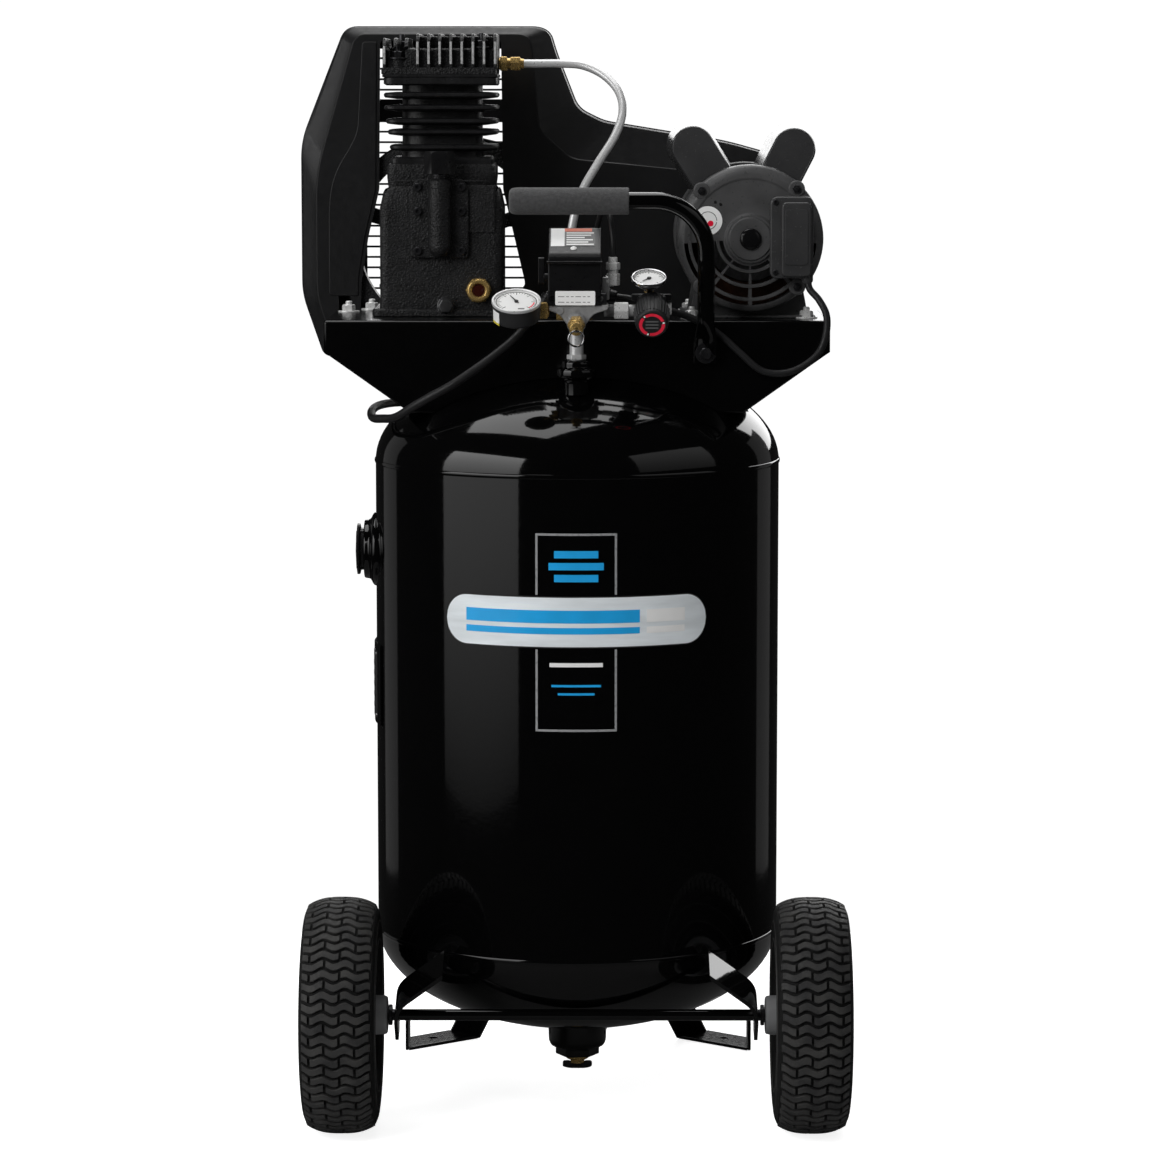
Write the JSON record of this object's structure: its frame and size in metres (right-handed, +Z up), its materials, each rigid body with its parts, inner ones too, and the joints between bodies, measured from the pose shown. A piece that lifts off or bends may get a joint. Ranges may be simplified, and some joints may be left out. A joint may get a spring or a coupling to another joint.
{
  "type": "vertical tank compressor",
  "caption": "Upright air receiver on wheels and feet with a belt-driven piston pump, electric motor, belt guard, pressure switch and regulator on its deck.",
  "frame": {"origin": "middle of the footprint at floor level, measured without the power cord, its coil and plug", "axes": "+Z up along the tank, -Y towards the user, on the side of the controls and wheels, +X towards the motor"},
  "size_m": [0.6225, 0.752, 1.216],
  "materials": {
    "gloss_black_paint": "gloss black powder coat",
    "pump_casting": "black painted rough casting",
    "valve_plate_steel": "plain steel",
    "motor_paint": "semi-gloss black",
    "stator_copper": "enamelled copper winding",
    "turned_steel": "turned steel",
    "guard_plastic": "satin moulded black",
    "switch_plastic": "satin moulded black",
    "knob_plastic": "ribbed black plastic",
    "foam": "closed-cell foam",
    "tyre_rubber": "black turf-tread rubber",
    "wheel_grey": "grey moulded hub",
    "belt_rubber": "fabric-covered V-belt",
    "cable_jacket": "black flexible jacket",
    "brass": "machined brass",
    "discharge_aluminium": "bright drawn tube",
    "manifold_casting": "zinc die casting",
    "regulator_casting": "black painted zinc",
    "gauge_case": "black steel case, white dial",
    "gauge_chrome": "plated case, white dial",
    "needle_black": "black painted needle",
    "plated_steel": "zinc plated",
    "plug_iron": "black painted pipe plug"
  },
  "bodies": {
    "chassis": {"tank_shell": "gloss_black_paint", "tank_top_head": "gloss_black_paint", "tank_bottom_head": "gloss_black_paint", "mounting_deck": "gloss_black_paint", "foot_left": "gloss_black_paint", "foot_right": "gloss_black_paint", "axle_bracket_left": "gloss_black_paint", "axle_bracket_right": "gloss_black_paint", "handle_tube": "gloss_black_paint", "capacitor_cover_left": "gloss_black_paint", "capacitor_cover_right": "gloss_black_paint", "crankcase": "pump_casting", "crankcase_cover": "pump_casting", "cylinder": "pump_casting", "cylinder_head": "pump_casting", "valve_plate": "valve_plate_steel", "motor_shell": "motor_paint", "motor_front_bell": "motor_paint", "motor_rear_bell": "motor_paint", "motor_stator": "stator_copper", "axle": "turned_steel", "belt_guard_front": "guard_plastic", "belt_guard_rear": "guard_plastic", "pressure_switch_cover": "switch_plastic", "terminal_cover": "switch_plastic", "intake_filter": "switch_plastic", "handle_grip": "foam", "drive_belt": "belt_rubber", "motor_cable": "cable_jacket", "power_cord": "cable_jacket", "power_cord_coil": "cable_jacket", "power_plug": "cable_jacket", "unloader_tube": "cable_jacket", "sight_glass": "brass", "check_valve": "brass", "safety_valve_body": "brass", "drain_cock_body": "brass", "discharge_tube": "discharge_aluminium", "manifold": "manifold_casting", "pressure_switch_base": "manifold_casting", "regulator_body": "regulator_casting", "tank_gauge": "gauge_case", "regulator_gauge": "gauge_chrome", "side_port_plug": "plug_iron"},
    "wheel_left": {"wheel_rim_left": "wheel_grey", "tyre_left": "tyre_rubber"},
    "wheel_right": {"wheel_rim_right": "wheel_grey", "tyre_right": "tyre_rubber"},
    "crank": {"crankshaft": "turned_steel", "flywheel": "pump_casting"},
    "motor_rotor": {"rotor": "turned_steel", "motor_pulley": "turned_steel"},
    "piston": {"piston": "discharge_aluminium"},
    "rod": {"connecting_rod": "discharge_aluminium"},
    "regulator_knob": {"regulator_knob": "knob_plastic"},
    "drain_handle": {"drain_cock_handle": "plated_steel"},
    "relief_ring": {"safety_ring": "gauge_chrome"},
    "auto_off_lever": {"switch_lever": "switch_plastic"},
    "tank_needle": {"tank_gauge_needle": "needle_black"},
    "regulator_needle": {"regulator_gauge_needle": "needle_black"}
  },
  "joints": [
    {"name": "wheel_left_spin", "type": "hinge", "parent": "chassis", "child": "wheel_left", "pos_m": [-0.2465, -0.169, 0.13], "axis": [1, 0, 0], "continuous": true},
    {"name": "wheel_right_spin", "type": "hinge", "parent": "chassis", "child": "wheel_right", "pos_m": [0.2705, -0.169, 0.13], "axis": [1, 0, 0], "continuous": true},
    {"name": "crank_spin", "type": "hinge", "parent": "chassis", "child": "crank", "pos_m": [-0.14, 0.206, 0.97], "axis": [0, 1, 0], "continuous": true},
    {"name": "motor_spin", "type": "hinge", "parent": "chassis", "child": "motor_rotor", "pos_m": [0.204, 0.206, 0.98], "axis": [0, 1, 0], "continuous": true},
    {"name": "piston_slide", "type": "slide", "parent": "chassis", "child": "piston", "axis": [0, 0, -1], "range_m": [0, 0.05]},
    {"name": "rod_swing", "type": "hinge", "parent": "piston", "child": "rod", "pos_m": [-0.14, 0.059, 1.132], "axis": [0, 1, 0], "range_deg": [-10.5, 10.5]},
    {"name": "regulator_turn", "type": "hinge", "parent": "chassis", "child": "regulator_knob", "pos_m": [0.094, -0.166, 0.891], "axis": [0, -0.8829, -0.4695], "range_deg": [-360, 360]},
    {"name": "drain_turn", "type": "hinge", "parent": "chassis", "child": "drain_handle", "pos_m": [0.012, 0.034, 0.026], "axis": [0, 0, 1], "range_deg": [0, 360]},
    {"name": "relief_pull", "type": "slide", "parent": "chassis", "child": "relief_ring", "axis": [0, -0.9707, -0.2402], "range_m": [0, 0.003], "stiffness_N_per_m": 2000},
    {"name": "auto_off_swing", "type": "hinge", "parent": "chassis", "child": "auto_off_lever", "pos_m": [-0.024, -0.108, 0.94], "axis": [1, 0, 0], "range_deg": [-20, 20]},
    {"name": "tank_needle_turn", "type": "hinge", "parent": "chassis", "child": "tank_needle", "pos_m": [-0.053, -0.156, 0.918], "axis": [0, -0.4226, 0.9063], "range_deg": [-163, 107]},
    {"name": "regulator_needle_turn", "type": "hinge", "parent": "chassis", "child": "regulator_needle", "pos_m": [0.091, -0.134, 0.942], "axis": [0, -0.4226, 0.9063], "range_deg": [-270, 0]}
  ],
  "couplings": [
    {"joint": "motor_spin", "follows": "crank_spin", "ratio": 3.75}
  ]
}
